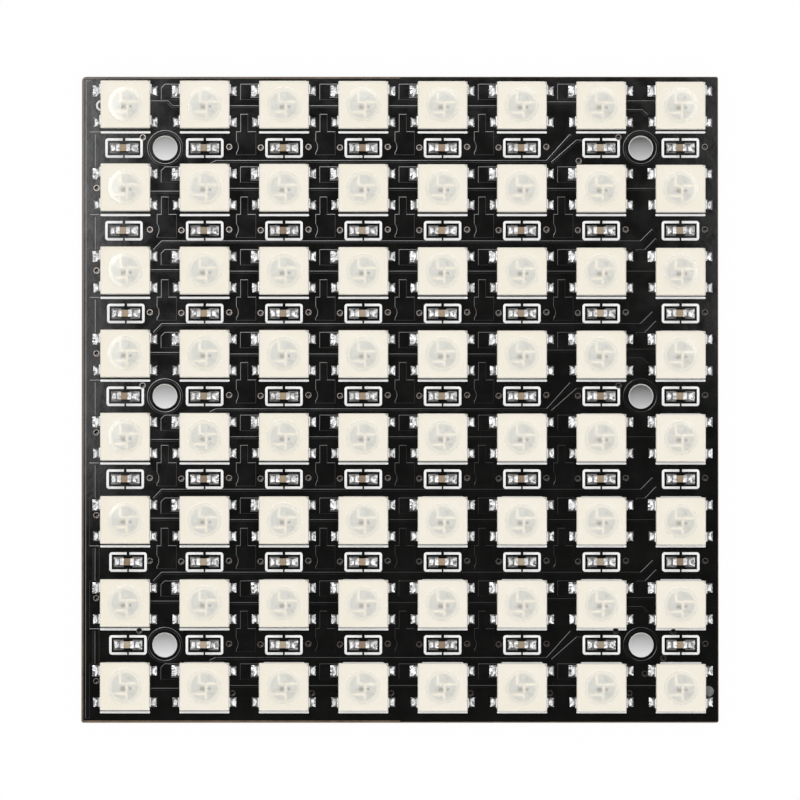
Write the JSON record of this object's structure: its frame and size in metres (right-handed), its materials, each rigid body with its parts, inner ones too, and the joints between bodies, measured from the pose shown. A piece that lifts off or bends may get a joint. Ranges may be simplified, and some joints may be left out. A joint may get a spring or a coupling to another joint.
{
  "type": "led dot matrix",
  "caption": "Square black circuit board with a grid of surface-mounted colour LEDs on its face, a small capacitor below each, and plain mounting holes near its edges.",
  "frame": {"origin": "Middle of the board's back face, which is the face it lies on.", "axes": "+X along a row of LEDs, from the first to the last column. +Y across the rows, towards the row with the first LED. +Z out of the LED side."},
  "size_m": [0.065, 0.066, 0.0032],
  "materials": {
    "solder_mask": "glossy black solder mask",
    "bare_copper": "copper under a thin dark mask",
    "white_ink": "printed white ink",
    "tinned_copper": "tinned, slightly uneven",
    "cream_plastic": "moulded, smooth satin",
    "clear_resin": "clear cured resin",
    "silvered_frame": "silver plated sheet",
    "solder": "bright, flowed",
    "dark_chip": "polished silicon",
    "pale_chip": "polished, nearly clear",
    "tan_ceramic": "fired, dull",
    "tinned_end": "tin plated"
  },
  "bodies": {
    "root": {"circuit_board": "solder_mask", "vias": "bare_copper", "front_tracks": "solder_mask", "silkscreen": "white_ink", "lands": "tinned_copper", "back_wire_lands": "tinned_copper", "led_housings_row_1": "cream_plastic", "led_fills_row_1": "clear_resin", "led_lead_frames_row_1": "silvered_frame", "led_solder_row_1": "solder", "led_housings_row_2": "cream_plastic", "led_fills_row_2": "clear_resin", "led_lead_frames_row_2": "silvered_frame", "led_solder_row_2": "solder", "led_housings_row_3": "cream_plastic", "led_fills_row_3": "clear_resin", "led_lead_frames_row_3": "silvered_frame", "led_solder_row_3": "solder", "led_housings_row_4": "cream_plastic", "led_fills_row_4": "clear_resin", "led_lead_frames_row_4": "silvered_frame", "led_solder_row_4": "solder", "led_housings_row_5": "cream_plastic", "led_fills_row_5": "clear_resin", "led_lead_frames_row_5": "silvered_frame", "led_solder_row_5": "solder", "led_housings_row_6": "cream_plastic", "led_fills_row_6": "clear_resin", "led_lead_frames_row_6": "silvered_frame", "led_solder_row_6": "solder", "led_housings_row_7": "cream_plastic", "led_fills_row_7": "clear_resin", "led_lead_frames_row_7": "silvered_frame", "led_solder_row_7": "solder", "led_housings_row_8": "cream_plastic", "led_fills_row_8": "clear_resin", "led_lead_frames_row_8": "silvered_frame", "led_solder_row_8": "solder", "driver_chips": "dark_chip", "red_chips": "dark_chip", "green_chips": "pale_chip", "blue_chips": "pale_chip", "capacitor_bodies_row_1": "tan_ceramic", "capacitor_ends_row_1": "tinned_end", "capacitor_bodies_row_2": "tan_ceramic", "capacitor_ends_row_2": "tinned_end", "capacitor_bodies_row_3": "tan_ceramic", "capacitor_ends_row_3": "tinned_end", "capacitor_bodies_row_4": "tan_ceramic", "capacitor_ends_row_4": "tinned_end", "capacitor_bodies_row_5": "tan_ceramic", "capacitor_ends_row_5": "tinned_end", "capacitor_bodies_row_6": "tan_ceramic", "capacitor_ends_row_6": "tinned_end", "capacitor_bodies_row_7": "tan_ceramic", "capacitor_ends_row_7": "tinned_end", "capacitor_solder_joints": "solder"}
  },
  "joints": []
}
